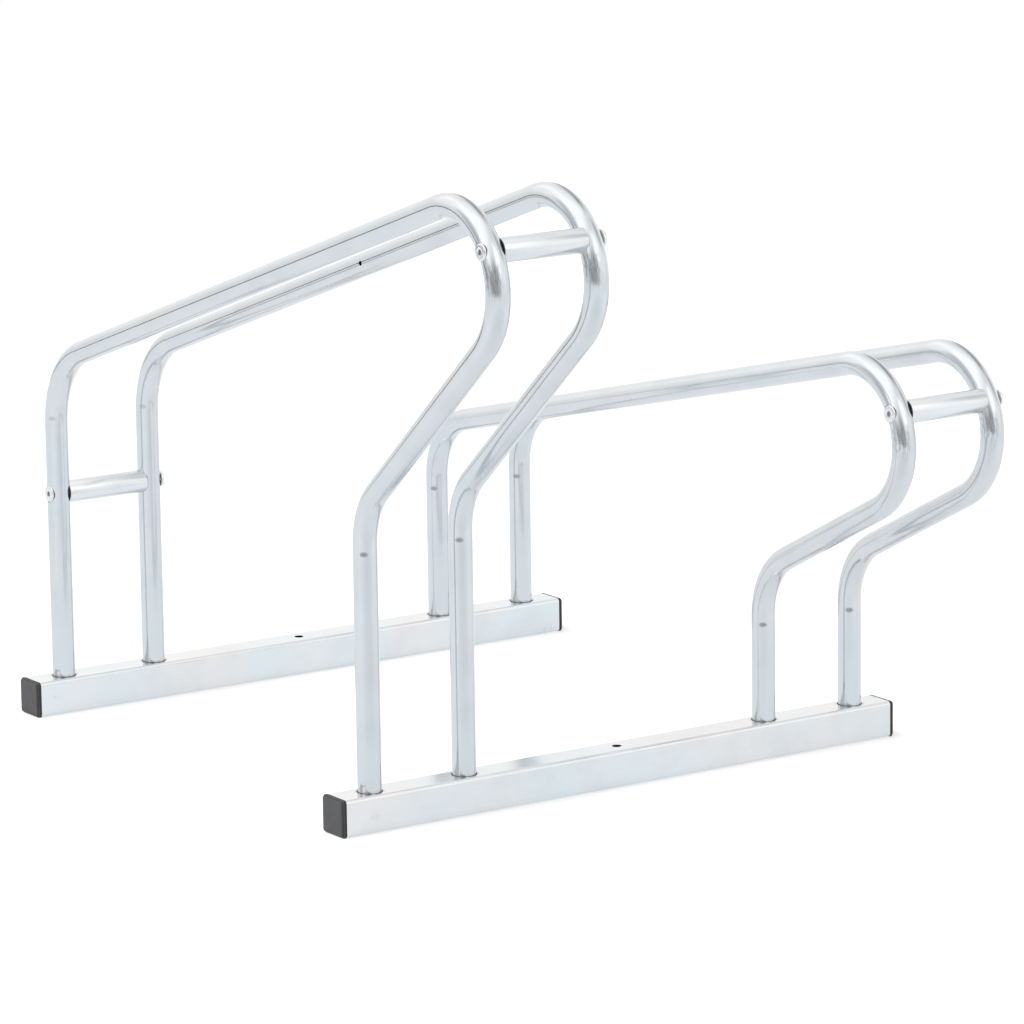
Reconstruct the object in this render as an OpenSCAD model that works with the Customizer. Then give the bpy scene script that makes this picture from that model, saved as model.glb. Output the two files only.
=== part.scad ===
// Floor bike rack: two low rails on the floor carry two wheel stands, one high
// and one low. Each stand is a pair of bent steel tubes that a tyre drops between.
// Every piece is a separate solid: rails, end caps, bent tubes, spacers, their
// threaded inserts, clamp bolts, and the plugs and screws that hold the legs.
// The origin is on the floor, midway between the rails. X runs along the rails,
// -Y is the side that the wheels roll in from, and Z is up. Lengths are in mm.

/* [Layout] */
// Distance between the centre lines of the two floor rails
rail_spacing = 400; // [340:5:460]
// Distance between the middles of the two wheel stands
stand_pitch = 316; // [260:2:420]
// Centre distance of the two bent tubes that hold one wheel
hoop_spacing = 73; // [52:1:110]
// Rail length outside the last bent tube at each end
rail_overhang = 25.5; // [23:0.5:60]

/* [Floor rails] */
// Width and height of the square rail tube
rail_size = 25; // [20:1:30]
// Wall of the rail tube
rail_wall = 1.5; // [1:0.1:2]
// Outer corner radius of the rail tube
rail_corner_r = 2.5; // [2:0.1:3.5]
// Diameter of the hole through each rail for a floor anchor
fixing_hole_d = 6.5; // [4.5:0.5:10]
// Gap all round a leg where it enters the rail
leg_gap = 0.6; // [0.3:0.1:1]

/* [Rail end caps] */
// Thickness of the cap's square rim
cap_rim = 1.8; // [1.2:0.1:3]
// Height of the cap's crown over its rim
cap_crown = 1.7; // [0.8:0.1:2.5]
// Width of the slope between rim and crown
cap_slope = 2; // [1.2:0.1:4]
// Depth of the cap's sleeve inside the rail
cap_sleeve = 12; // [8:0.5:14]
// Wall of the cap's sleeve
cap_wall = 1.6; // [1.2:0.1:2.2]
// Height of the grip ribs on the sleeve
cap_rib_h = 0.7; // [0.4:0.1:1]
// Width of the grip ribs on the sleeve
cap_rib_w = 1.2; // [0.8:0.1:2]
// Gap between the ribs and the inside of the rail
cap_fit = 0.1; // [0.05:0.05:0.25]

/* [Bent tube] */
// Outer diameter of the tube of the wheel stands
tube_d = 16; // [14:0.5:18]
// Wall of the tube of the wheel stands
tube_wall = 1.2; // [1:0.1:1.5]
// Bend radius of the tube, at its centre line
bend_r = 49; // [44:1:54]
// Bend radius at the back of the high stand, at the centre line
high_back_bend_r = 60; // [50:1:70]

/* [High stand] */
// Height at which the back leg starts to bend
high_back_z = 205; // [185:1:225]
// Height at which the front leg starts to bend
high_front_z = 187.5; // [170:0.5:200]
// How far the middle of the nose bend stands in front of the front rail
high_nose_out = 108; // [90:1:130]
// Height of the middle of the nose bend
high_nose_z = 369.5; // [350:0.5:390]
// Height of the spacer between the two back legs
high_back_spacer_z = 156; // [120:1:176]
// Where the nose spacer sits on the nose bend, in degrees up from the back
high_spacer_turn = 148; // [130:1:170]
// Diameter of the small vent hole in the inner side of each top run
vent_d = 3.3; // [2.5:0.1:4]
// Where the vent hole sits along the top run, as a share from its back end
vent_share = 0.57; // [0.3:0.01:0.8]

/* [Low stand] */
// Height at which the back leg starts to bend
low_back_z = 128.5; // [115:0.5:150]
// Height at which the front leg starts to bend
low_front_z = 97.5; // [85:0.5:110]
// How far the middle of the nose bend stands in front of the front rail
low_nose_out = 104; // [90:1:130]
// Height of the middle of the nose bend
low_nose_z = 235; // [225:1:260]
// Where the nose spacer sits on the nose bend, in degrees up from the back
low_spacer_turn = 152; // [135:1:170]

/* [Spacers and clamp bolts] */
// Depth of the flats pressed into the tube at each clamped joint
flat_depth = 1.7; // [1:0.1:2.2]
// Margin of each flat around what sits on it
flat_margin = 0.4; // [0.2:0.1:0.8]
// Wall of the spacer tube
spacer_wall = 1.5; // [1.2:0.1:2]
// Length of the threaded insert in each end of a spacer
insert_len = 12; // [8:1:16]
// Diameter of the clamp bolt's thread
bolt_d = 6; // [5:0.5:8]
// Length of the clamp bolt's shank
bolt_len = 22; // [20:1:24]
// Diameter of the clamp bolt's round head
bolt_head_d = 12.5; // [11:0.5:13.5]
// Height of the clamp bolt's round head
bolt_head_h = 3.4; // [2.8:0.1:4]
// Height of the straight rim at the foot of the head
bolt_head_rim = 0.8; // [0.4:0.1:1.2]
// Size of the hexagon socket across its flats
bolt_socket = 4; // [3:0.5:5]
// Depth of the hexagon socket in the head
bolt_socket_depth = 2.2; // [1.5:0.1:2.6]
// Gap round the bolt's shank in the bent tube
bolt_gap = 0.3; // [0.2:0.05:0.6]

/* [Foot plugs and screws] */
// Length of the threaded plug in the foot of each leg
plug_len = 14; // [10:1:20]
// Diameter of the foot screw's thread
screw_d = 6; // [4:0.5:7]
// Diameter of the foot screw's countersunk head
screw_head_d = 12; // [11:0.5:12.5]
// Length of the foot screw
screw_len = 15; // [12:1:20]
// Height of the screw head's face over the floor
screw_inset = 0.2; // [0.1:0.1:0.5]
// Size of the hexagon socket across its flats
screw_socket = 4; // [2.5:0.5:4]
// Depth of the hexagon socket in the screw head
screw_socket_depth = 2; // [1:0.1:2.4]
// Gap between the screw's cone and its seat
screw_gap = 0.1; // [0.05:0.05:0.2]

/* [Hidden] */
// Radial gap of parts that are pressed or screwed together
press_gap = 0.05;
// Length by which a cut runs past the face that it leaves
overrun = 1;
// How much slimmer a tube's radius is in its bends
bend_slim = 0.005;
zinc = [0.84, 0.87, 0.89];
bright_zinc = [0.92, 0.93, 0.94];
dark_plastic = [0.36, 0.36, 0.37];
dark_steel = [0.62, 0.65, 0.69];
$fn = 72;

rail_length = stand_pitch + hoop_spacing + 2 * rail_overhang;
front_y = -rail_spacing / 2;
back_y = rail_spacing / 2;
tube_r = tube_d / 2;
flat_x = tube_r - flat_depth;
inner_x = flat_x - tube_wall;
spacer_len = hoop_spacing - 2 * flat_x;
spacer_bore_r = tube_r - spacer_wall;
bolt_flat_r = bolt_head_d / 2 + flat_margin;
spacer_flat_r = tube_r + flat_margin;
rail_bore = rail_size - 2 * rail_wall;
rail_bore_corner_r = rail_corner_r - rail_wall;
sleeve_size = rail_bore - 2 * (cap_fit + cap_rib_h);
tube_bore_r = tube_r - tube_wall;

// A stand is its x place and the shape of its bent tube in the YZ plane:
// back bend radius, back bend start, front bend start, nose middle
function stand_x(stand) = (stand == "high" ? -1 : 1) * stand_pitch / 2;
function back_r(stand) = stand == "high" ? high_back_bend_r : bend_r;
function back_z(stand) = stand == "high" ? high_back_z : low_back_z;
function front_z(stand) = stand == "high" ? high_front_z : low_front_z;
function nose(stand) = stand == "high"
    ? [front_y - high_nose_out, high_nose_z]
    : [front_y - low_nose_out, low_nose_z];
function back_middle(stand) = [back_y - back_r(stand), back_z(stand)];
function front_middle(stand) = [front_y - bend_r, front_z(stand)];
function side_x(stand, side) = stand_x(stand) + (side == "left" ? -1 : 1) * hoop_spacing / 2;
// 1 where the inner side of a bent tube faces +X, -1 where it faces -X
function inward(side) = side == "left" ? 1 : -1;
function around(middle, r, turn) = middle + r * [cos(turn), sin(turn)];

// The top run touches the back and nose bends on their upper sides
function top_turn(stand) =
    let (d = back_middle(stand) - nose(stand))
    atan2(d.y, d.x) + acos((bend_r - back_r(stand)) / norm(d));
// The lower run crosses from the nose bend to the far side of the front bend
function low_turn(stand) =
    let (d = front_middle(stand) - nose(stand))
    360 + atan2(d.y, d.x) - acos(2 * bend_r / norm(d));
// Straight runs from the back foot to the front foot: length, bend radius and turn
function tube_runs(stand, extra) =
    let (top_d = norm(back_middle(stand) - nose(stand)), low_d = norm(front_middle(stand) - nose(stand)))
    [
        [back_z(stand) - rail_wall + extra, back_r(stand), top_turn(stand)],
        [sqrt(top_d ^ 2 - (back_r(stand) - bend_r) ^ 2), bend_r, low_turn(stand) - top_turn(stand)],
        [sqrt(low_d ^ 2 - (2 * bend_r) ^ 2), bend_r, 180 - low_turn(stand)],
        [front_z(stand) - rail_wall + extra, 0, 0],
    ];

// Clamped joints: name, stand, and the joint's place in the YZ plane
function joint_place(joint) =
    joint == "high_nose" ? around(nose("high"), bend_r, high_spacer_turn)
    : joint == "low_nose" ? around(nose("low"), bend_r, low_spacer_turn)
    : [back_y, high_back_spacer_z];
function joint_stand(joint) = joint == "low_nose" ? "low" : "high";
function joints_of(stand) = [for (joint = joints) if (joint_stand(joint) == stand) joint];

ends = ["front", "back"];
sides = ["left", "right"];
stands = ["high", "low"];
joints = ["high_nose", "high_back", "low_nose"];

function end_y(end) = end == "front" ? front_y : back_y;

// Flat square with round corners, centred on the origin
module rounded_square(size, r) {
    square([size - 2 * r, size], center = true);
    square([size, size - 2 * r], center = true);
    for (x = [-1, 1], y = [-1, 1])
        translate([x, y] * (size / 2 - r)) circle(r);
}

// Turns an outline in XY into a bar along X that starts at the origin
module along_x(length) {
    rotate([90, 0, 90]) linear_extrude(length) children();
}

// Round bar along X, centred on a place in the YZ plane
module cross_bar(x, place, r, length) {
    translate([x, place.x, place.y]) along_x(length) circle(r);
}

// Square floor rail with the leg holes, the screw seats and the anchor hole
module floor_rail(end) {
    color(bright_zinc) difference() {
        translate([-rail_length / 2, end_y(end), rail_size / 2]) along_x(rail_length)
            difference() {
                rounded_square(rail_size, rail_corner_r);
                rounded_square(rail_bore, rail_bore_corner_r);
            }
        translate([0, end_y(end), -overrun])
            cylinder(r = fixing_hole_d / 2, h = rail_size + 2 * overrun);
        for (stand = stands, side = sides) {
            translate([side_x(stand, side), end_y(end), rail_size / 2])
                cylinder(r = tube_r + leg_gap, h = rail_size / 2 + overrun);
            translate([side_x(stand, side), end_y(end), 0]) screw_seat();
        }
    }
}

// Cap with a square rim, a low crown, and a hollow ribbed sleeve in the rail
module end_cap(end, side) {
    color(dark_plastic)
        translate([(side == "left" ? -1 : 1) * rail_length / 2, end_y(end), rail_size / 2])
            mirror([side == "left" ? 1 : 0, 0, 0]) {
                along_x(cap_rim) rounded_square(rail_size, rail_corner_r);
                cap_crown_block();
                translate([-cap_sleeve, 0, 0]) along_x(cap_sleeve) difference() {
                    union() {
                        rounded_square(sleeve_size, rail_bore_corner_r);
                        cap_ribs();
                    }
                    rounded_square(sleeve_size - 2 * cap_wall, rail_bore_corner_r / 2);
                }
            }
}

// Low crown: the space where two ridges with sloping ends cross each other
module cap_crown_block() {
    translate([cap_rim, 0, 0]) intersection() {
        cap_ridge();
        rotate([90, 0, 0]) cap_ridge();
    }
}

// Ridge across Z with slopes on its two long sides
module cap_ridge() {
    half = rail_size / 2 - rail_corner_r * (1 - cos(45));
    translate([0, 0, -rail_size / 2]) linear_extrude(rail_size)
        polygon([[0, -half], [0, half], [cap_crown, half - cap_slope],
                 [cap_crown, cap_slope - half]]);
}

// Two grip ribs on each face of the sleeve, as an outline
module cap_ribs() {
    for (turn = [0, 90, 180, 270], place = [-1, 1] * sleeve_size / 4)
        rotate(turn) translate([sleeve_size / 2 - cap_rib_h, place - cap_rib_w / 2])
            square([2 * cap_rib_h, cap_rib_w]);
}

// Straight bar from the origin along +Z, whose ends taper into the bends beside it
module straight_run(length, r, foot_taper, top_taper) {
    rotate_extrude() polygon([
        [0, -foot_taper], [r - foot_taper, -foot_taper], [r, 0],
        [r, length], [r - top_taper, length + top_taper], [0, length + top_taper],
    ]);
}

// Bend that starts at the origin towards +Z and turns about X by its turn
module bend(middle_r, turn, r) {
    mirror([0, turn < 0 ? 1 : 0, 0]) translate([0, -middle_r, 0]) rotate([90, 0, 90])
        rotate_extrude(angle = abs(turn)) translate([middle_r, 0]) circle(r - bend_slim);
}

// Places its children where such a bend ends, with +Z along the bar
module past_bend(middle_r, turn) {
    out = sign(turn) * middle_r;
    translate([0, -out, 0]) rotate([turn, 0, 0]) translate([0, out, 0]) children();
}

// Solid bar along a list of runs, each with its length and the bend after it
module follow_runs(runs, r, first = 0) {
    run = runs[first];
    last = len(runs) - 1;
    straight_run(run[0], r, first > 0 ? 2 * bend_slim : 0, first < last ? 2 * bend_slim : 0);
    if (first < last) translate([0, 0, run[0]]) {
        bend(run[1], run[2], r);
        past_bend(run[1], run[2]) follow_runs(runs, r, first + 1);
    }
}

// Solid bar of radius r along the whole bent tube, longer by extra at its feet
module bent_bar(stand, r, extra) {
    translate([0, back_y, rail_wall - extra]) follow_runs(tube_runs(stand, extra), r);
}

// Both flats of a clamped joint, from depth_x out past the tube's surface:
// a small one for the bolt head outside, a wide one for the spacer inside.
// Each is wider by extra_r
module joint_flats(joint, side, depth_x, extra_r) {
    reach = tube_d;
    length = reach - depth_x;
    place = joint_place(joint);
    cross_bar(inward(side) > 0 ? depth_x : -reach, place, spacer_flat_r + extra_r, length);
    cross_bar(inward(side) > 0 ? -reach : depth_x, place, bolt_flat_r + extra_r, length);
}

// Vent hole through the inner wall of the top run
module vent_hole(stand, side) {
    top = top_turn(stand);
    from = around(back_middle(stand), back_r(stand), top);
    to = around(nose(stand), bend_r, top);
    place = from + (to - from) * vent_share;
    cross_bar(inward(side) > 0 ? 0 : -tube_d, place, vent_d / 2, tube_d);
}

// Bent tube with pressed flats and bolt holes at its clamped joints
module hoop(stand, side) {
    color(zinc) translate([side_x(stand, side), 0, 0]) difference() {
        bent_bar(stand, tube_r, 0);
        difference() {
            bent_bar(stand, tube_bore_r, overrun);
            for (joint = joints_of(stand)) joint_flats(joint, side, inner_x, tube_wall);
        }
        for (joint = joints_of(stand)) {
            joint_flats(joint, side, flat_x, 0);
            cross_bar(-tube_d, joint_place(joint), bolt_d / 2 + bolt_gap, 2 * tube_d);
        }
        if (stand == "high") vent_hole(stand, side);
    }
}

// Round spacer tube between the flats of the two bent tubes of a stand
module spacer(joint) {
    color(zinc) translate([stand_x(joint_stand(joint)) - spacer_len / 2, 0, 0]) difference() {
        cross_bar(0, joint_place(joint), tube_r, spacer_len);
        cross_bar(-overrun, joint_place(joint), spacer_bore_r, spacer_len + 2 * overrun);
    }
}

// Places a child, drawn along +X from a flat's plane, at one side of a joint
module at_flat(joint, side, offset_x) {
    place = joint_place(joint);
    translate([side_x(joint_stand(joint), side) + inward(side) * offset_x, place.x, place.y])
        mirror([inward(side) > 0 ? 0 : 1, 0, 0]) children();
}

// Threaded insert in the end of a spacer, flush with the spacer's end
module threaded_insert(joint, side) {
    color(dark_steel) at_flat(joint, side, flat_x) along_x(insert_len) difference() {
        circle(spacer_bore_r - press_gap);
        circle(bolt_d / 2 + press_gap);
    }
}

// Clamp bolt with a round head and a hexagon socket
module clamp_bolt(joint, side) {
    color(bright_zinc) at_flat(joint, side, -flat_x) {
        difference() {
            button_head();
            translate([-bolt_head_h - overrun, 0, 0]) rotate([0, 90, 0])
                cylinder(d = bolt_socket / cos(30), h = bolt_socket_depth + overrun, $fn = 6);
        }
        along_x(bolt_len) circle(bolt_d / 2);
    }
}

// Round head whose foot lies in the YZ plane and whose crown points to -X
module button_head() {
    foot_r = bolt_head_d / 2;
    crown_h = bolt_head_h - bolt_head_rim;
    ball_r = (foot_r * foot_r + crown_h * crown_h) / (2 * crown_h);
    intersection() {
        translate([-bolt_head_h, 0, 0]) along_x(bolt_head_h) circle(foot_r);
        translate([ball_r - bolt_head_h, 0, 0]) sphere(ball_r);
    }
}

// Countersunk seat for a foot screw, with the clearance of its cone
module screw_seat() {
    seat_r = screw_head_d / 2 + screw_gap + screw_inset;
    thread_r = screw_d / 2 + press_gap;
    cone_h = seat_r - thread_r;
    cylinder(r1 = seat_r, r2 = thread_r, h = cone_h);
    translate([0, 0, -overrun]) cylinder(r = seat_r, h = overrun);
    translate([0, 0, cone_h - overrun]) cylinder(r = thread_r, h = rail_wall + plug_len + overrun);
}

// Threaded plug pressed into the foot of a leg, level with the leg's end
module foot_plug(stand, side, end) {
    color(dark_steel) translate([side_x(stand, side), end_y(end), 0]) difference() {
        translate([0, 0, rail_wall]) cylinder(r = tube_bore_r - press_gap, h = plug_len);
        screw_seat();
    }
}

// Countersunk screw from below the rail into the foot plug
module foot_screw(stand, side, end) {
    head_r = screw_head_d / 2;
    cone_h = head_r - screw_d / 2;
    color(bright_zinc) translate([side_x(stand, side), end_y(end), screw_inset]) difference() {
        union() {
            cylinder(r1 = head_r, r2 = screw_d / 2, h = cone_h);
            cylinder(r = screw_d / 2, h = screw_len);
        }
        translate([0, 0, -overrun])
            cylinder(d = screw_socket / cos(30), h = screw_socket_depth + overrun, $fn = 6);
    }
}

for (end = ends) floor_rail(end);
for (end = ends, side = sides)
    end_cap(end, side);
for (stand = stands, side = sides)
    hoop(stand, side);
for (joint = joints) spacer(joint);
for (joint = joints, side = sides)
    threaded_insert(joint, side);
for (joint = joints, side = sides)
    clamp_bolt(joint, side);
for (stand = stands, side = sides, end = ends)
    foot_plug(stand, side, end);
for (stand = stands, side = sides, end = ends)
    foot_screw(stand, side, end);
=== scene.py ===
from math import acos, atan2, cos, pi, radians, sin, sqrt

import bmesh
import bpy
import numpy as np
from bpy.props import FloatProperty, FloatVectorProperty, PointerProperty
from mathutils import Matrix, Vector


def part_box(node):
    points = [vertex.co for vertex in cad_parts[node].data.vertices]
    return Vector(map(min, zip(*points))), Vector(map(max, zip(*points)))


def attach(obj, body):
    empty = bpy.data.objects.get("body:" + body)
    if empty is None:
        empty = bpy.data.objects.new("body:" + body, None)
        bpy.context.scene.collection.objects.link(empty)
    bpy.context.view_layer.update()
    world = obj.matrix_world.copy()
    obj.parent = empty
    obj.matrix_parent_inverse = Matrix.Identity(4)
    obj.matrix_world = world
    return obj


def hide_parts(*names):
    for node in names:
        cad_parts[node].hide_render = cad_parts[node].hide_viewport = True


bl_info = {
    "name": "Floor Bike Rack",
    "version": (1, 0, 0),
    "blender": (4, 5, 0),
    "location": "3D View > Sidebar > Bike Rack",
    "description": "Builds the visible pieces and finishes of a floor bike rack for two bicycles",
    "category": "Object",
}

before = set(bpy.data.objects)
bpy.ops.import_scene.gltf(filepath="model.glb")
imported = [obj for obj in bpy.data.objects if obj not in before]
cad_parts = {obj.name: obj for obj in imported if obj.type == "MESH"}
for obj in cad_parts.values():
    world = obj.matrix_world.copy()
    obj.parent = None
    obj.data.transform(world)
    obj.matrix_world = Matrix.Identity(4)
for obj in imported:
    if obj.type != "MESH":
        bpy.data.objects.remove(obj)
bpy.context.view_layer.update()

STANDS = ("high", "low")
SIDES = ("left", "right")
ENDS = ("front", "back")
JOINTS = {"high": ("high_nose", "high_back"), "low": ("low_nose",)}
BODY = "root"

# Way along X from the tube on each side towards the slot for the wheel
INWARD = {"left": 1, "right": -1}


def middle(node):
    """Middle of a solid of the frame."""
    low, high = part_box(node)
    return (low + high) / 2


def size(node):
    """Width, depth and height of a solid of the frame."""
    low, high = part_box(node)
    return high - low


class RackSizes(bpy.types.PropertyGroup):
    """Sizes of the visible pieces, in metres."""

    tube_wall: FloatProperty(
        name="Tube wall", description="Wall of the bent tubes",
        default=0.0012, min=0.0005, unit="LENGTH",
    )
    bend_radius: FloatProperty(
        name="Bend radius", description="Bend radius at the tube's centre line",
        default=0.049, min=0.02, unit="LENGTH",
    )
    high_back_bend_radius: FloatProperty(
        name="High back bend radius", description="Bend radius at the back of the high stand",
        default=0.060, min=0.02, unit="LENGTH",
    )
    high_back_start: FloatProperty(
        name="High back bend height", description="Height at which the high back legs start to bend",
        default=0.205, min=0.05, unit="LENGTH",
    )
    high_front_start: FloatProperty(
        name="High front bend height", description="Height at which the high front legs start to bend",
        default=0.1875, min=0.05, unit="LENGTH",
    )
    low_back_start: FloatProperty(
        name="Low back bend height", description="Height at which the low back legs start to bend",
        default=0.1285, min=0.05, unit="LENGTH",
    )
    low_front_start: FloatProperty(
        name="Low front bend height", description="Height at which the low front legs start to bend",
        default=0.0975, min=0.05, unit="LENGTH",
    )
    left_spacer_seat_depth: FloatProperty(
        name="Left spacer seat depth", description="Depth of the spacer seats in the left tubes",
        default=0.0025, min=0.0, unit="LENGTH",
    )
    right_spacer_seat_depth: FloatProperty(
        name="Right spacer seat depth", description="Depth of the spacer seats in the right tubes",
        default=0.0028, min=0.0, unit="LENGTH",
    )
    left_bolt_seat_depth: FloatProperty(
        name="Left bolt seat depth", description="Depth of the flats under the heads on the left tubes",
        default=0.0011, min=0.0, unit="LENGTH",
    )
    right_bolt_seat_depth: FloatProperty(
        name="Right bolt seat depth", description="Depth of the flats under the heads on the right tubes",
        default=0.0003, min=0.0, unit="LENGTH",
    )
    seat_gap: FloatProperty(
        name="Seat gap", description="Gap between a seat's edge and what sits in it",
        default=0.00004, min=0.00001, unit="LENGTH",
    )
    seat_blend: FloatProperty(
        name="Seat run-out", description="Length over which a seat fades out inside the tube",
        default=0.0012, min=0.0005, unit="LENGTH",
    )
    bolt_gap: FloatProperty(
        name="Bolt gap", description="Gap between a bolt and the edge of its hole",
        default=0.0003, min=0.0001, unit="LENGTH",
    )
    vent_diameter: FloatProperty(
        name="Vent hole", description="Diameter of the vent hole in the high tubes",
        default=0.0033, min=0.001, unit="LENGTH",
    )
    vent_share: FloatProperty(
        name="Vent place", description="Place of the vent hole along the top run, from its back end",
        default=0.57, min=0.1, max=0.9, subtype="FACTOR",
    )
    edge_break: FloatProperty(
        name="Broken edge", description="Width of the broken edges of cut metal pieces",
        default=0.0003, min=0.0001, unit="LENGTH",
    )
    spacer_wall: FloatProperty(
        name="Spacer wall", description="Wall of the spacer tubes",
        default=0.0015, min=0.0005, unit="LENGTH",
    )
    bolt_diameter: FloatProperty(
        name="Bolt shank", description="Diameter of the clamp bolts' shanks",
        default=0.006, min=0.003, unit="LENGTH",
    )
    left_head_height: FloatProperty(
        name="Left head height", description="Height of the bolt heads on the left tubes",
        default=0.0013, min=0.0008, unit="LENGTH",
    )
    right_head_height: FloatProperty(
        name="Right head height", description="Height of the bolt heads on the right tubes",
        default=0.0028, min=0.0008, unit="LENGTH",
    )
    bolt_head_radius: FloatProperty(
        name="Bolt head radius", description="Radius of the clamp bolts' round heads",
        default=0.0058, min=0.003, unit="LENGTH",
    )
    bolt_head_round: FloatProperty(
        name="Bolt head rounding", description="Rounding between the head's rim and its flat face",
        default=0.0015, min=0.0002, unit="LENGTH",
    )
    bolt_socket: FloatProperty(
        name="Bolt socket", description="Size of the hexagon socket across its flats",
        default=0.0036, min=0.001, unit="LENGTH",
    )
    bolt_socket_depth: FloatProperty(
        name="Bolt socket depth", description="Depth of the hexagon socket",
        default=0.0016, min=0.0005, unit="LENGTH",
    )
    rail_corner: FloatProperty(
        name="Rail corner radius", description="Outer corner radius of the square rail",
        default=0.0025, min=0.0005, unit="LENGTH",
    )
    rail_wall: FloatProperty(
        name="Rail wall", description="Wall of the square rail",
        default=0.0015, min=0.0005, unit="LENGTH",
    )
    cap_rim: FloatProperty(
        name="Cap rim", description="Thickness of the cap's square rim",
        default=0.002, min=0.0005, unit="LENGTH",
    )
    cap_slope: FloatProperty(
        name="Cap slope", description="Width of the slope between the cap's rim and crown",
        default=0.001, min=0.0005, unit="LENGTH",
    )
    cap_sleeve_wall: FloatProperty(
        name="Cap sleeve wall", description="Wall of the sleeve inside the rail",
        default=0.0016, min=0.0005, unit="LENGTH",
    )
    cap_rib: FloatProperty(
        name="Cap rib", description="Height of the grip ribs on the sleeve",
        default=0.0007, min=0.0001, unit="LENGTH",
    )


class RackColours(bpy.types.PropertyGroup):
    """Colours of the finishes, as linear light."""

    tube_zinc: FloatVectorProperty(
        name="Tube zinc", description="Zinc plating of the bent tubes",
        default=(0.68, 0.702, 0.722), subtype="COLOR",
    )
    spacer_zinc: FloatVectorProperty(
        name="Spacer zinc", description="Zinc plating of the spacers",
        default=(0.80, 0.81, 0.82), subtype="COLOR",
    )
    rail_zinc: FloatVectorProperty(
        name="Rail zinc", description="Zinc plating of the square rails",
        default=(0.79, 0.80, 0.805), subtype="COLOR",
    )
    bolt_zinc: FloatVectorProperty(
        name="Bolt zinc", description="Plating of the bolts and screws",
        default=(0.83, 0.835, 0.84), subtype="COLOR",
    )
    bare_steel: FloatVectorProperty(
        name="Bare steel", description="Turned steel of the inserts and plugs",
        default=(0.45, 0.46, 0.48), subtype="COLOR",
    )
    cap_plastic: FloatVectorProperty(
        name="Cap plastic", description="Dark grey plastic of the rail caps",
        default=(0.080, 0.080, 0.083), subtype="COLOR",
    )
    # Dark colour for painted shade in gaps, recesses and beside the bolt heads, and for residue at tool marks
    # and scuffs
    shade_and_grime: FloatVectorProperty(
        name="Grime", description="Dark residue in gaps and at marks",
        default=(0.09, 0.09, 0.095), subtype="COLOR",
    )
    floor: FloatVectorProperty(
        name="Floor", description="Studio floor",
        default=(0.86, 0.86, 0.86), subtype="COLOR",
    )
    floor_glow: FloatVectorProperty(
        name="Floor glow", description="Cool light of the floor that the metal mirrors",
        default=(0.935, 0.985, 1.03), subtype="COLOR", max=2.0,
    )


class StudioSettings(bpy.types.PropertyGroup):
    """Camera, floor and light of the studio."""

    camera_place: FloatVectorProperty(
        name="Camera place", description="Where the camera stands",
        default=(-1.9934, -3.0492, 0.9143), subtype="TRANSLATION", unit="LENGTH",
    )
    camera_turn: FloatProperty(
        name="Camera turn", description="Direction of the camera around the rack; 0 looks along +Y",
        default=radians(-33.868), subtype="ANGLE",
    )
    camera_rise: FloatProperty(
        name="Camera rise", description="Angle of the camera above the horizon",
        default=radians(11.853), subtype="ANGLE",
    )
    camera_roll: FloatProperty(
        name="Camera roll", description="Turn of the camera about its own axis",
        default=radians(-0.788), subtype="ANGLE",
    )
    lens: FloatProperty(
        name="Lens", description="Focal length on a 36 mm sensor, in millimetres",
        default=189.82, min=10, subtype="DISTANCE_CAMERA",
    )
    floor_radius: FloatProperty(
        name="Floor radius", description="Radius of the round studio floor",
        default=2.6, min=1.0, unit="LENGTH",
    )
    sky_level: FloatProperty(
        name="Sky level", description="Plain light from all round",
        default=0.68, min=0.0,
    )
    lamp_level: FloatProperty(
        name="Lamp level", description="Strength of the large soft lamp",
        default=1.05, min=0.0,
    )


# Meshes

SHARP_ANGLE = radians(28)
TUBE_SEGMENTS = 48
PIN_SEGMENTS = 96
VENT_SEGMENTS = 24
SPACER_SEGMENTS = 64
BOLT_SEGMENTS = 48
CORNER_STEPS = 6

# Share of a broken edge that its middle point leaves, so that the edge is slightly round
EDGE_MIDDLE = 0.3


def new_piece(name, mesh, material, slot, *nodes):
    """Links a finished mesh as a piece of the rack that stands for some solids."""
    mesh.shade_smooth()
    mesh.set_sharp_from_angle(angle=SHARP_ANGLE)
    mesh.materials.append(material)
    piece = bpy.data.objects.new(name, mesh)
    bpy.context.scene.collection.objects.link(piece)
    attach(piece, BODY)
    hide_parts(*nodes)


def mesh_of_rings(name, rings, closed=False):
    """Mesh of equal rings of points joined by quads, with its ends filled unless it is closed."""
    count = len(rings[0])
    points = [point for ring in rings for point in ring]
    faces = []
    for first in range(len(rings) - (0 if closed else 1)):
        second = (first + 1) % len(rings)
        for index in range(count):
            after = (index + 1) % count
            faces.append((
                first * count + index, first * count + after,
                second * count + after, second * count + index,
            ))
    if not closed:
        faces.append(tuple(reversed(range(count))))
        faces.append(tuple((len(rings) - 1) * count + index for index in range(count)))
    mesh = bpy.data.meshes.new(name)
    mesh.from_pydata(points, [], faces)
    work = bmesh.new()
    work.from_mesh(mesh)
    bmesh.ops.recalc_face_normals(work, faces=work.faces)
    work.to_mesh(mesh)
    work.free()
    return mesh


def ring_about_x(place, along, radii):
    """Ring about X at a distance from a place, with a radius for each equal step of the turn."""
    ring = []
    for index, radius in enumerate(radii):
        turn = 2 * pi * index / len(radii)
        ring.append((place.x + along, place.y + radius * cos(turn), place.z + radius * sin(turn)))
    return ring


def turned_rings(outline, place, facing, segments):
    """Rings of a piece turned about X: outline gives (distance along facing, radius)."""
    return [ring_about_x(place, facing * along, [radius] * segments) for along, radius in outline]


def mark_points(mesh, name, values):
    """Stores a number at each point of a mesh, for its finish."""
    stored = mesh.attributes.new(name, "FLOAT", "POINT")
    stored.data.foreach_set("value", [float(value) for value in values])


def smooth_step(share):
    """Soft step from 0 to 1 while share goes from 0 to 1."""
    share = min(max(share, 0.0), 1.0)
    return share * share * (3 - 2 * share)


# Bent tubes

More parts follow.
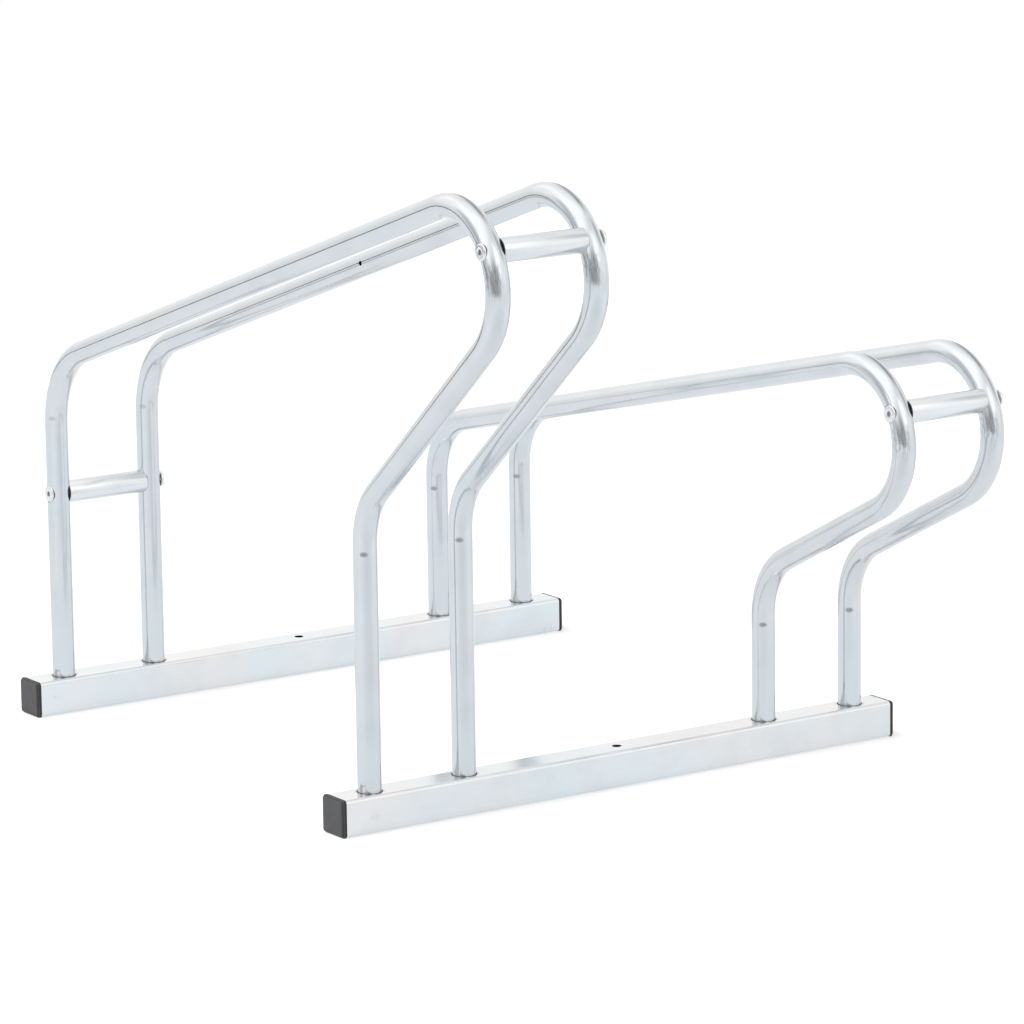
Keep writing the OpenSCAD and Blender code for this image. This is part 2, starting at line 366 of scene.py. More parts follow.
class TubeRoute:
    """Centre line of a bent tube in the YZ plane, from its back foot over the nose to its front foot."""

    # Steps between the rings of the mesh, and reach of the fine ones round a joint, in tube radii
    WIDE_STEP, BENT_STEP, FINE_STEP, JOINT_REACH = 1.2, 0.25, 0.09, 2.0

    # Steps to a tube radius while looking for the place nearest to a joint
    SEARCH_STEPS = 40

    def __init__(self, sizes, stand, side):
        self.stand = stand
        self.side = side
        self.inward = INWARD[side]
        hoop = f"{stand}_{side}_hoop"
        low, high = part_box(hoop)
        self.x = middle(hoop).x
        self.tube_radius = size(hoop).x / 2
        bend = sizes.bend_radius
        back_bend = sizes.high_back_bend_radius if stand == "high" else bend
        back_start = getattr(sizes, f"{stand}_back_start")
        front_start = getattr(sizes, f"{stand}_front_start")
        self.back_y = middle("back_rail").y
        front_y = middle("front_rail").y
        self.foot_z = low.z
        nose = Vector((low.y + self.tube_radius + bend, high.z - self.tube_radius - bend))
        back = Vector((self.back_y - back_bend, back_start)) - nose
        front = Vector((front_y - bend, front_start)) - nose
        top_turn = atan2(back.y, back.x) + acos((bend - back_bend) / back.length)
        low_turn = 2 * pi + atan2(front.y, front.x) - acos(2 * bend / front.length)
        self.runs = [
            (back_start - self.foot_z, back_bend, top_turn),
            (sqrt(back.length ** 2 - (back_bend - bend) ** 2), bend, low_turn - top_turn),
            (sqrt(front.length ** 2 - 4 * bend ** 2), bend, pi - low_turn),
            (front_start - self.foot_z, 0.0, 0.0),
        ]
        self.length = sum(run + radius * abs(turn) for run, radius, turn in self.runs)
        self.joints = [self.nearest(middle(f"{joint}_spacer")) for joint in JOINTS[stand]]

    def at(self, along):
        """Place (y, z) and heading at a distance along the route. Heading 0 is up, pi / 2 is towards -Y."""
        y, z, heading = self.back_y, self.foot_z, 0.0
        for run, radius, turn in self.runs:
            step = min(along, run)
            y -= sin(heading) * step
            z += cos(heading) * step
            along -= step
            if along <= 0 or radius == 0:
                break
            way = 1 if turn > 0 else -1
            arc = min(along, radius * abs(turn))
            after = heading + way * arc / radius
            y += way * radius * (cos(after) - cos(heading))
            z += way * radius * (sin(after) - sin(heading))
            heading = after
            along -= arc
            if along <= 0:
                break
        return y, z, heading

    def run_end(self, number):
        """Distance along the route at which a straight run ends."""
        done = sum(run + radius * abs(turn) for run, radius, turn in self.runs[:number])
        return done + self.runs[number][0]

    def nearest(self, place):
        """Distance along the route that lies nearest to a place."""
        step = self.tube_radius / self.SEARCH_STEPS
        tries = [index * step for index in range(int(self.length / step))]
        return min(tries, key=lambda along: self.gap(along, place))

    def gap(self, along, place):
        """Squared distance from the route to a place in the YZ plane."""
        y, z, _ = self.at(along)
        return (y - place.y) ** 2 + (z - place.z) ** 2

    def stations(self):
        """Distances along the route for the rings: wide on straight runs, close in bends and at joints."""
        wide, bent = self.tube_radius * self.WIDE_STEP, self.tube_radius * self.BENT_STEP
        fine, reach = self.tube_radius * self.FINE_STEP, self.tube_radius * self.JOINT_REACH
        bends = []
        for number, (_, radius, turn) in enumerate(self.runs[:-1]):
            start = self.run_end(number)
            bends.append((start - bent, start + radius * abs(turn) + bent))
        found, along = [0.0], 0.0
        while along < self.length:
            step = wide
            if any(start - wide < along < end for start, end in bends):
                step = bent
            if any(abs(along + fine - joint) < reach for joint in self.joints):
                step = fine
            elif any(0 < joint - reach - along < step for joint in self.joints):
                step = bent
            along += step
            found.append(min(along, self.length))
        return found


def seat_limit(sizes, route, along, across, slot_side):
    """Half width left to the tube at a place, where its seats are pressed in round each joint."""
    if slot_side:
        seat_radius, depth = route.tube_radius, getattr(sizes, f"{route.side}_spacer_seat_depth")
    else:
        seat_radius, depth = sizes.bolt_head_radius, getattr(sizes, f"{route.side}_bolt_seat_depth")
    limit = route.tube_radius
    for joint in route.joints:
        outside = sqrt((along - joint) ** 2 + across ** 2) - seat_radius - sizes.tube_wall
        pressed = 1 - smooth_step(outside / sizes.seat_blend)
        limit = min(limit, route.tube_radius - depth * pressed)
    return limit


def tube_ring(sizes, route, along, shrink):
    """One ring of the tube's surface, or of its bore where shrink is the wall."""
    y, z, heading = route.at(along)
    radius = route.tube_radius - shrink
    ring = []
    for index in range(TUBE_SEGMENTS):
        turn = 2 * pi * index / TUBE_SEGMENTS
        sideways, across = radius * sin(turn), radius * cos(turn)
        if shrink >= sizes.tube_wall:
            limit = seat_limit(sizes, route, along, across, sideways * route.inward > 0) - shrink
            sideways = max(-limit, min(limit, sideways))
        ring.append((
            route.x + sideways,
            y + cos(heading) * across,
            z + sin(heading) * across,
        ))
    return ring


def bent_tube_mesh(sizes, route):
    """Hollow bent tube with broken edges at its feet, before its seats and holes are cut."""
    edge, wall = sizes.edge_break, sizes.tube_wall
    stations = route.stations()[1:-1]

    def ring(along, shrink):
        """Ring of this tube."""
        return tube_ring(sizes, route, along, shrink)

    rings = (
        [ring(0.0, wall - edge)] + [ring(along, wall) for along in stations]
        + [ring(route.length, wall - edge), ring(route.length, edge), ring(route.length - edge, 0.0)]
        + [ring(along, 0.0) for along in reversed(stations)] + [ring(edge, 0.0), ring(0.0, edge)]
    )
    return mesh_of_rings(f"bent_tube_{route.stand}_{route.side}", rings, closed=True)


def hole_pins(sizes, route):
    """Stepped pins that cut each joint's seats and bolt hole, and a pin for the vent hole."""
    reach = route.tube_radius * 1.5
    hole = sizes.bolt_diameter / 2 + sizes.bolt_gap
    head = sizes.bolt_head_radius + sizes.seat_gap
    spacer = size("high_nose_spacer").y / 2 + sizes.seat_gap
    head_seat = route.tube_radius - getattr(sizes, f"{route.side}_bolt_seat_depth")
    spacer_seat = route.tube_radius - getattr(sizes, f"{route.side}_spacer_seat_depth")
    outline = [
        (-reach, head), (-head_seat, head), (-head_seat, hole),
        (spacer_seat, hole), (spacer_seat, spacer), (reach, spacer),
    ]
    pins = []
    for joint in JOINTS[route.stand]:
        place = middle(f"{joint}_spacer")
        place.x = route.x
        pins.append(turned_rings(outline, place, route.inward, PIN_SEGMENTS))
    if route.stand == "high":
        _, back_bend, back_turn = route.runs[0]
        top_run = route.runs[1][0]
        y, z, _ = route.at(route.run_end(0) + back_bend * back_turn + top_run * sizes.vent_share)
        radius = sizes.vent_diameter / 2
        place = Vector((route.x, y, z))
        pins.append(turned_rings([(0.0, radius), (reach, radius)], place, route.inward, VENT_SEGMENTS))
    return pins


def joined(name, shells):
    """One mesh of several separate closed shells, each a list of rings."""
    work = bmesh.new()
    for rings in shells:
        shell = mesh_of_rings(name, rings)
        work.from_mesh(shell)
        bpy.data.meshes.remove(shell)
    mesh = bpy.data.meshes.new(name)
    work.to_mesh(mesh)
    work.free()
    return mesh


def cut_holes(mesh, pins):
    """Tube mesh with the pins cut out of it."""
    name = mesh.name
    tube = bpy.data.objects.new("uncut_tube", mesh)
    pin = bpy.data.objects.new("hole_pins", joined("hole_pins", pins))
    for item in (tube, pin):
        bpy.context.scene.collection.objects.link(item)
    cut = tube.modifiers.new("holes", "BOOLEAN")
    cut.operation = "DIFFERENCE"
    cut.solver = "EXACT"
    cut.object = pin
    bpy.context.view_layer.update()
    evaluated = tube.evaluated_get(bpy.context.evaluated_depsgraph_get())
    done = bpy.data.meshes.new_from_object(evaluated)
    for used in (mesh, pin.data):
        bpy.data.meshes.remove(used)
    done.name = name
    return done


def mark_straight(mesh, route):
    """Stores each point's place on the tube as if it were still straight, for finishes that run along it."""
    step = route.tube_radius / 8
    batch = 2000
    line = np.array([route.at(index * step) for index in range(int(route.length / step) + 1)])
    points = np.empty(len(mesh.vertices) * 3, np.float32)
    mesh.vertices.foreach_get("co", points)
    points = points.reshape(-1, 3).astype(float)
    straight = np.empty_like(points)
    for first in range(0, len(points), batch):
        part = points[first:first + batch]
        gap = part[:, None, 1:] - line[None, :, :2]
        nearest = (gap ** 2).sum(-1).argmin(1)
        heading = line[nearest, 2]
        y, z = (part[:, 1:] - line[nearest, :2]).T
        forward = z * np.cos(heading) - y * np.sin(heading)
        straight[first:first + batch, 0] = part[:, 0] - route.x
        straight[first:first + batch, 1] = y * np.cos(heading) + z * np.sin(heading)
        straight[first:first + batch, 2] = nearest * step + forward
    stored = mesh.attributes.new("straight", "FLOAT_VECTOR", "POINT")
    stored.data.foreach_set("vector", straight.astype(np.float32).ravel())


# Spacers and bolts

# Largest share of a bolt's head that its rounding takes
ROUNDING_SHARE = 0.6

# Drops of the head's face at its rim and at the socket's mouth, in broken edges
FACE_DROP, MOUTH_DROP = 0.15, 0.2

# Radii of the drilled tip below the socket, as shares of the socket's mouth
TIP_RADII = (0.62, 0.1)


def spacer_mesh(sizes, joint):
    """Round spacer tube with broken edges, from one pressed seat to the other."""
    node = f"{joint}_spacer"
    stand = joint.split("_")[0]
    left, right = f"{stand}_left_hoop", f"{stand}_right_hoop"
    tube_radius = size(left).x / 2
    place = middle(node)
    place.x = middle(left).x + tube_radius - sizes.left_spacer_seat_depth
    length = middle(right).x - tube_radius + sizes.right_spacer_seat_depth - place.x
    radius = size(node).y / 2
    bore = radius - sizes.spacer_wall
    edge = sizes.edge_break
    inset = edge * EDGE_MIDDLE
    outline = [
        (edge, bore), (0.0, bore + edge), (0.0, radius - edge), (inset, radius - inset), (edge, radius),
        (length - edge, radius), (length - inset, radius - inset), (length, radius - edge),
        (length, bore + edge), (length - edge, bore),
    ]
    rings = turned_rings(outline, place, 1, SPACER_SEGMENTS)
    mesh = mesh_of_rings(f"spacer_{joint}", rings, closed=True)
    # Points of the cut end faces, which the finish darkens with painted shade
    on_cut = [min(along, length - along) < edge / 2 for along, _ in outline]
    mark_points(mesh, "end_face_shade", np.repeat(on_cut, SPACER_SEGMENTS))
    return mesh


def hexagon_radius(turn, flats):
    """Distance from the middle to the side of a hexagon in a direction."""
    return flats / 2 / cos((turn + pi / 6) % (pi / 3) - pi / 6)


def bolt_mesh(sizes, joint, side):
    """Clamp bolt: a low round head with a rounded rim and a hexagon socket, and a shank with a broken tip."""
    node = f"{joint}_{side}_bolt"
    hoop = f"{joint.split('_')[0]}_{side}_hoop"
    low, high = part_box(node)
    outward = -INWARD[side]
    place = middle(node)
    place.x = middle(hoop).x + outward * (size(hoop).x / 2 - getattr(sizes, f"{side}_bolt_seat_depth"))
    shank = abs((high.x if outward < 0 else low.x) - place.x)
    shank_radius = sizes.bolt_diameter / 2
    head = getattr(sizes, f"{side}_head_height")
    rim = sizes.bolt_head_radius
    rounding = min(sizes.bolt_head_round, head * ROUNDING_SHARE)
    land = rim - rounding
    edge = sizes.edge_break
    inset = edge * EDGE_MIDDLE
    mouth = sizes.bolt_socket / 2 / cos(pi / 6) + 2 * edge
    outline = [
        (-shank, shank_radius - 2 * edge), (-shank + 2 * edge, shank_radius), (0.0, shank_radius),
        (0.0, rim - edge), (inset, rim - inset), (edge, rim),
    ]
    for index in range(CORNER_STEPS + 1):
        turn = index / CORNER_STEPS * pi / 2
        outline.append((head - edge / 2 + rounding * (sin(turn) - 1), land + rounding * cos(turn)))
    top = head - edge * MOUTH_DROP
    outline += [(head - edge * FACE_DROP, land - 2 * edge), (head, mouth + 2 * edge), (top, mouth)]
    rings = turned_rings(outline, place, outward, BOLT_SEGMENTS)
    floor = head - sizes.bolt_socket_depth
    hexagon = [
        hexagon_radius(2 * pi * index / BOLT_SEGMENTS, sizes.bolt_socket) for index in range(BOLT_SEGMENTS)
    ]
    rings.append(ring_about_x(place, outward * (top - edge * 0.8), hexagon))
    # The socket's floor and drilled tip are marked for painted shade
    socket_shade_start = len(rings) * BOLT_SEGMENTS
    rings.append(ring_about_x(place, outward * floor, hexagon))
    tip = [(floor, mouth * TIP_RADII[0]), (floor - edge * 2, mouth * TIP_RADII[1])]
    rings += turned_rings(tip, place, outward, BOLT_SEGMENTS)
    mesh = mesh_of_rings(f"bolt_{joint}_{side}", rings)
    mark_points(mesh, "socket", [index >= socket_shade_start for index in range(len(mesh.vertices))])
    return mesh


# Rail caps

# Corner radius of the caps, as a share of the rail's
CAP_CORNER = 0.68

# Places on the slope between rim and crown, and how much the corners tighten on it
SLOPE_SHARES = (0.12, 0.5, 0.88)
CORNER_SHRINK = 0.4

# Smallest corner radius of a square ring, as a share of its half width
LEAST_CORNER = 0.02


def square_ring(place, along, half, corner):
    """Ring of a square with round corners across X."""
    ring = []
    corner = max(corner, half * LEAST_CORNER)
    for number in range(4):
        centre_turn = pi / 4 + number * pi / 2
        centre_y = (half - corner) * (1 if cos(centre_turn) > 0 else -1)
        centre_z = (half - corner) * (1 if sin(centre_turn) > 0 else -1)
        for step in range(CORNER_STEPS + 1):
            turn = number * pi / 2 + step * pi / 2 / CORNER_STEPS
            ring.append((
                place.x + along,
                place.y + centre_y + corner * cos(turn),
                place.z + centre_z + corner * sin(turn),
            ))
    return ring


def cap_mesh(sizes, end, side):
    """Plastic cap: a hollow sleeve in the rail, a square rim and a low crown with round edges."""
    node = f"{end}_{side}_cap"
    low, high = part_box(node)
    rail_low, rail_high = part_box(f"{end}_rail")
    outward = -INWARD[side]
    place = middle(node)
    place.x = rail_low.x if outward < 0 else rail_high.x
    depth = (high.x - place.x) if outward < 0 else (place.x - low.x)
    top = size(node).x - depth
    half = size(node).y / 2
    rim, slope, edge = sizes.cap_rim, sizes.cap_slope, sizes.edge_break
    inset = edge * EDGE_MIDDLE
    corner = sizes.rail_corner * CAP_CORNER
    sleeve = half - sizes.rail_wall - sizes.cap_rib
    inside = sleeve - sizes.cap_sleeve_wall
    crown = half - edge - slope
    crown_corner = corner - edge - slope * CORNER_SHRINK

    # Distance from the rail's end, half width and corner radius of each ring, from the sleeve's floor on
    profile = [
        (-rim, inside, corner / 2), (-depth + edge, inside, corner / 2), (-depth, inside + edge, corner / 2),
        (-depth, sleeve - edge, corner / 2), (-depth + edge, sleeve, corner / 2), (0.0, sleeve, corner / 2),
        (0.0, half - edge, corner - edge), (inset, half - inset, corner), (edge, half, corner),
        (rim - edge, half, corner), (rim - inset, half - inset, corner), (rim, half - edge, corner - edge),
    ]
    for share in SLOPE_SHARES:
        profile.append((
            rim + (top - rim) * share,
            half - edge - slope * share,
            corner - edge - slope * share * CORNER_SHRINK,
        ))
    profile += [
        (top - edge * 0.25, crown - edge * 0.4, crown_corner), (top, crown - edge * 1.4, crown_corner - edge),
        (top, crown * 0.8, crown_corner - edge), (top - edge * 0.4, crown * 0.3, crown_corner - edge),
    ]
    rings = [square_ring(place, outward * along, flat, rounding) for along, flat, rounding in profile]
    return mesh_of_rings(f"rail_cap_{end}_{side}", rings)


# Shader nodes

class Number:
    """Shader value that takes part in Python expressions."""

    def __init__(self, tree, socket):
        self.tree = tree
        self.socket = socket

    def math(self, operation, *values):
        """Math node on some values."""
        return add_node(self.tree, "ShaderNodeMath", {"operation": operation}, dict(enumerate(values)))

    def __add__(self, other):
        return self.math("ADD", self, other)

    __radd__ = __add__

    def __sub__(self, other):
        return self.math("SUBTRACT", self, other)

    def __rsub__(self, other):
        return self.math("SUBTRACT", other, self)

    def __mul__(self, other):
        return self.math("MULTIPLY", self, other)

    __rmul__ = __mul__

    def __truediv__(self, other):
        return self.math("DIVIDE", self, other)

    def __pow__(self, other):
        return self.math("POWER", self, other)

    def __abs__(self):
        return self.math("ABSOLUTE", self)

    def least(self, other):
        """The smaller of two values."""
        return self.math("MINIMUM", self, other)

    def most(self, other):
        """The larger of two values."""
        return self.math("MAXIMUM", self, other)

    def step(self, start, end):
        """Soft step from 0 at start to 1 at end."""
        low, high, first, last = (start, end, 0.0, 1.0) if start < end else (end, start, 1.0, 0.0)
        return add_node(
            self.tree, "ShaderNodeMapRange", {"interpolation_type": "SMOOTHSTEP"},
            {"Value": self, "From Min": low, "From Max": high, "To Min": first, "To Max": last},
        )

    def other(self, output):
        """Another output of the same node."""
        return Number(self.tree, self.socket.node.outputs[output])


def add_node(tree, kind, settings=None, inputs=None, output=0):
    """Adds a node: settings first, then values or links of its sockets. Returns one of its outputs."""
    node = tree.nodes.new(kind)
    for key, value in (settings or {}).items():
        setattr(node, key, value)
    for key, value in (inputs or {}).items():
        if isinstance(value, Number):
            tree.links.new(value.socket, node.inputs[key])
        else:
            node.inputs[key].default_value = value
    return Number(tree, node.outputs[output]) if node.outputs else None


def colour(value):
    """Colour with its alpha, or a link left as it is."""
    return value if isinstance(value, Number) else (*tuple(value)[:3], 1.0)


def mixed(factor, first, second):
    """Colour between two colours."""
    factor_socket, first_socket, second_socket, result = 0, 6, 7, 2
    return add_node(factor.tree, "ShaderNodeMix", {"data_type": "RGBA"}, {
        factor_socket: factor, first_socket: colour(first), second_socket: colour(second),
    }, output=result)


def stretched(tree, vector, scale):
    """Coordinates scaled by axis."""
    return add_node(tree, "ShaderNodeVectorMath", {"operation": "MULTIPLY"}, {0: vector, 1: scale})


def dot(tree, first, second):
    """Dot product of two directions."""
    settings = {"operation": "DOT_PRODUCT"}
    return add_node(tree, "ShaderNodeVectorMath", settings, {0: first, 1: second}, "Value")


def noise(tree, vector, grain):
    """Noise from 0 to 1: grain gives its features a metre, its detail and its roughness."""
    scale, detail, roughness = grain
    return add_node(tree, "ShaderNodeTexNoise", {"noise_dimensions": "3D"}, {
        "Vector": vector, "Scale": scale, "Detail": detail, "Roughness": roughness,
    })


def parts_of(tree, vector):
    """The x, y and z of a vector."""
    x = add_node(tree, "ShaderNodeSeparateXYZ", None, {0: vector})
    return x, x.other(1), x.other(2)


def length_of(x, y):
    """Length of a flat offset."""
    return (x * x + y * y) ** 0.5


def stored_value(tree, name, output="Fac"):
    """What a mesh stores at its points under a name."""
    return add_node(tree, "ShaderNodeAttribute", {"attribute_name": name}, None, output)


def place_on(tree):
    """Place on the piece, in metres."""
    return add_node(tree, "ShaderNodeTexCoord", output="Object")


def ray_kinds(tree):
    """Whether a ray comes from the camera, and whether it comes from metal or glass."""
    camera = add_node(tree, "ShaderNodeLightPath", output="Is Camera Ray")
    return camera, camera.other("Is Glossy Ray").most(camera.other("Is Transmission Ray"))


def new_finish(name):
    """New material with its node tree and its shader."""
    material = bpy.data.materials.new(name)
    material.use_nodes = True
    tree = material.node_tree
    shader = next(node for node in tree.nodes if node.type == "BSDF_PRINCIPLED")
    return material, tree, shader


def feed(shader, bump_height, bump_strength, bump_distance, **values):
    """Sets or links the shader's sockets by their names in plain words, and raises its normal by a height."""
    tree = shader.id_data
    values["normal"] = add_node(tree, "ShaderNodeBump", None, {
        "Height": bump_height, "Strength": bump_strength, "Distance": bump_distance,
    })
    names = {
        "colour": "Base Color", "roughness": "Roughness", "metallic": "Metallic", "normal": "Normal",
        "specular": "Specular IOR Level",
    }
    for key, value in values.items():
        socket = shader.inputs[names[key]]
        if isinstance(value, Number):
            tree.links.new(value.socket, socket)
        else:
            socket.default_value = value


# Finishes

# Grain of each finish: features a metre, detail and roughness
DRAW_LINES = (900.0, 4.0, 0.6)
ZINC_CLOUDS = (28.0, 3.0, 0.55)
TUBE_PATCHES = (9.0, 2.0, 0.5)
TUBE_GRAIN = (700.0, 3.0, 0.6)
FOOT_SHADE_PATCHES = (160.0, 2.0, 0.5)
WORN_GRAIN = (1200.0, 3.0, 0.65)
CUT_GRAIN = (900.0, 3.0, 0.6)
RAIL_PATCHES = (13.0, 2.0, 0.5)
RAIL_GRAIN = (600.0, 3.0, 0.6)
RAIL_SPOTS = (55.0, 2.0, 0.5)
BOLT_GRAIN = (1500.0, 3.0, 0.6)
BOLT_CLOUDS = (260.0, 2.0, 0.5)
TURNED_LINES = (2600.0, 2.0, 0.5)
STEEL_GRAIN = (900.0, 3.0, 0.6)
PLASTIC_GRAIN = (2600.0, 3.0, 0.6)
PLASTIC_CLOUDS = (120.0, 3.0, 0.5)

# Stretch of the grain along the metal, by axis
TUBE_STRETCH = (1.0, 1.0, 0.012)
WORN_STRETCH = (1.0, 1.0, 0.16)
SPACER_STRETCH = (0.02, 1.0, 1.0)
RAIL_STRETCH = (0.012, 1.0, 1.0)
TURNED_STRETCH = (1.0, 0.05, 0.05)

# Tint of the warm and the cool patches in the zinc, and how much stronger it is on the rails
WARM_SHIFT = (0.015, -0.004, -0.012)
COOL_SHIFT = (-0.035, 0.0, 0.012)
RAIL_TINT = 1.8

# Tool marks on the legs: height and darkness of the back mark and the front mark of each stand
LEG_MARKS = {"high": ((0.2107, 0.45), (0.1825, 1.0)), "low": ((0.1207, 0.9), (0.0922, 1.0))}

# Directions that the marks face, sideways and across the tube, and half of a mark's width and length
BACK_MARK_FACING = (-0.77, -0.64)
FRONT_MARK_FACING = (-0.62, 0.78)
MARK_WIDTH, MARK_LENGTH = 0.0034, 0.0021

# Soft start and end of the worn zone past a nose's joint, and of the dull streak past the start of its bend
WORN_ZONE = ((0.007, 0.013), (0.033, 0.019))
STREAK_ZONE = ((0.012, 0.024), (0.054, 0.042))

# Reach of the scuffs from the rails' ends: where they are full and where they stop
SCUFF_REACH = (0.02, 0.045)


def scaled(base, share):
    """Colour made lighter or darker."""
    return [channel * share for channel in base]


def shifted(base, shift, amount):
    """Colour with its channels shifted by shares of their own."""
    return [channel * (1 + amount * change) for channel, change in zip(base, shift)]


def zinc_layer(tree, along, base, stretch, patches, tint=1.0):
    """Colour, roughness and height of bright zinc plating with fine draw lines along the metal."""
    lines = noise(tree, stretched(tree, along, stretch), DRAW_LINES)
    clouds = noise(tree, along, ZINC_CLOUDS)
    warmth = noise(tree, along, patches).step(0.35, 0.65)
    clean = mixed(warmth, shifted(base, COOL_SHIFT, tint), shifted(base, WARM_SHIFT, tint))
    dullness = clouds.step(0.42, 0.72) * 0.5 + lines.step(0.4, 0.8) * 0.25
    return mixed(dullness, clean, scaled(base, 0.9)), 0.085 + clouds * 0.045 + lines * 0.04, lines


def leg_mark(side, across, distance, along, faces, depth):
    """Small oval mark on one side of a tube, from 0 to its depth."""
    sideways = (side * faces[1] - across * faces[0]) / MARK_WIDTH
    forward = (distance - along) / MARK_LENGTH
    near = (side * faces[0] + across * faces[1]).step(0.0, 0.003)
    return (sideways * sideways + forward * forward).step(1.0, 0.05) * near * depth


def zone(distance, start, ends):
    """Stretch of a tube past a start, with a soft first and last end."""
    first, last = ends
    return distance.step(start + first[0], start + first[1]) * distance.step(start + last[0], start + last[1])


def tube_finish(sizes, colours, route):
    """Zinc-plated bent tube: draw lines along it, painted shade at the feet and beside the left bolt heads,
    tool marks and worn bends.
    """
    material, tree, shader = new_finish(f"tube_zinc_{route.stand}")
    straight = stored_value(tree, "straight", "Vector")
    shade, rough, lines = zinc_layer(tree, straight, colours.tube_zinc, TUBE_STRETCH, TUBE_PATCHES)
    side, across, distance = parts_of(tree, straight)
    grain = noise(tree, straight, TUBE_GRAIN)

    (back, back_depth), (front, front_depth) = LEG_MARKS[route.stand]
    front_along = route.length - (front - route.foot_z)
    back_mark = leg_mark(side, across, distance, back - route.foot_z, BACK_MARK_FACING, back_depth)
    front_mark = leg_mark(side, across, distance, front_along, FRONT_MARK_FACING, front_depth)
    dirt_and_shade = back_mark.most(front_mark) * (0.2 + grain * 0.7)

    # Painted shade: a dark, patchy ring on each leg where it goes into the rail
    rail_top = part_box("front_rail")[1].z
    _, _, height = parts_of(tree, place_on(tree))
    foot = abs(height - rail_top).step(0.0022, 0.0004) * grain.step(0.25, 0.75) * 0.55
    dirt_and_shade = dirt_and_shade.most(foot * (0.35 + noise(tree, straight, FOOT_SHADE_PATCHES).step(0.35, 0.6) * 0.65))

    # Painted shadow: a dark crescent on the tube round each bolt head, on the left side only
    head = sizes.bolt_head_radius
    for joint in route.joints:
        bolt_shadow = length_of(distance - joint, across).step(head + 0.0001, head - 0.0005)
        dirt_and_shade = dirt_and_shade.most(bolt_shadow * side.step(-0.0005, -0.002) * 0.8)

    fine = noise(tree, stretched(tree, straight, WORN_STRETCH), WORN_GRAIN)
    worn = zone(distance, route.joints[0], WORN_ZONE) * (across * 0.6 - side * 0.8).step(0.004, 0.0072)
    dirt_and_shade = dirt_and_shade.most(worn * fine.step(0.45, 0.62) * 0.45)

    outer_line = abs(side - 0.0003).step(0.0019, 0.0003) * across.step(0.0, 0.004)
    streak = outer_line * zone(distance, route.run_end(1), STREAK_ZONE)
    dirt_and_shade = dirt_and_shade.most(streak * (0.42 + grain * 0.4))
    feed(
        shader, lines + worn * fine * 10.0, 0.12, 0.00006,
        metallic=1.0, colour=mixed(dirt_and_shade, shade, colours.shade_and_grime), roughness=rough + dirt_and_shade * 0.3,
    )
    return material


def spacer_finish(colours):
    """Duller zinc plating with draw lines along X, and painted shade on the cut faces that sit in the tubes.
    """
    material, tree, shader = new_finish("spacer_zinc")
    place = place_on(tree)
    shade, rough, lines = zinc_layer(tree, place, colours.spacer_zinc, SPACER_STRETCH, TUBE_PATCHES)
    # Painted shade: the cut end faces are darkened as if shadowed in the gap against the tube
    cut = stored_value(tree, "end_face_shade").step(0.3, 0.95)
    dirt_and_shade = cut * (0.8 + noise(tree, place, CUT_GRAIN) * 0.2)
    feed(
        shader, lines, 0.1, 0.00006,
        metallic=1.0, colour=mixed(dirt_and_shade, shade, colours.shade_and_grime), roughness=rough + dirt_and_shade * 0.3 + 0.14,
    )
    return material


def rail_finish(colours):
    """Rail zinc with draw lines along X, painted shade round the legs and small scuffs near the ends."""
    rail_end, rail_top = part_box("back_rail")[1].x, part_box("back_rail")[1].z
    rail_y = middle("back_rail").y
    leg_radius = size("high_left_hoop").x / 2
    material, tree, shader = new_finish("rail_zinc")
    place = place_on(tree)
    shade, rough, lines = zinc_layer(tree, place, colours.rail_zinc, RAIL_STRETCH, RAIL_PATCHES, RAIL_TINT)
    x, y, z = parts_of(tree, place)
    grain = noise(tree, place, RAIL_GRAIN)

    # The stands stand at equal distances left and right of the middle, so one stand's legs serve for both
    outer_leg, inner_leg = (abs(middle(f"high_{side}_hoop").x) for side in SIDES)
    to_rail = abs(y) - rail_y
    near = length_of(abs(x) - outer_leg, to_rail).least(length_of(abs(x) - inner_leg, to_rail))
    # Painted shade: a dark, patchy ring on the rail's top round each leg
    ring = near.step(leg_radius + 0.0035, leg_radius) * z.step(rail_top - 0.001, rail_top)
    full, stop = SCUFF_REACH
    scuff = abs(x).step(rail_end - stop, rail_end - full)
    scuff = scuff * noise(tree, place, RAIL_SPOTS).step(0.66, 0.74) * grain.step(0.45, 0.7)
    dirt_and_shade = ring * grain.step(0.2, 0.8) * 0.5 + scuff * 0.18
    feed(
        shader, lines, 0.1, 0.00006,
        metallic=1.0, colour=mixed(dirt_and_shade, shade, colours.shade_and_grime), roughness=rough + dirt_and_shade * 0.3,
    )
    return material


def bolt_finish(colours):
    """Bright plated bolt with fine turning marks and painted shade in its socket."""
    material, tree, shader = new_finish("bolt_zinc")
    place = place_on(tree)
    grain = noise(tree, place, BOLT_GRAIN)
    clouds = noise(tree, place, BOLT_CLOUDS).step(0.35, 0.7)
    shade = mixed(clouds, colours.bolt_zinc, scaled(colours.bolt_zinc, 0.93))
    # Painted shade: the socket darkens towards its floor
    socket = stored_value(tree, "socket").step(0.0, 0.6) * 0.38
    feed(
        shader, grain, 0.15, 0.00005,
        metallic=1.0, colour=mixed(socket, shade, colours.shade_and_grime), roughness=0.16 + grain * 0.12,
    )
    return material


def steel_finish(colours):
    """Turned steel with fine rings."""
    material, tree, shader = new_finish("insert_steel")
    place = place_on(tree)
    rings = noise(tree, stretched(tree, place, TURNED_STRETCH), TURNED_LINES)
    grain = noise(tree, place, STEEL_GRAIN)
    shade = mixed(grain.step(0.3, 0.8), colours.bare_steel, scaled(colours.bare_steel, 0.8))
    feed(shader, rings, 0.2, 0.00008, metallic=1.0, colour=shade, roughness=0.26 + grain * 0.14)
    return material


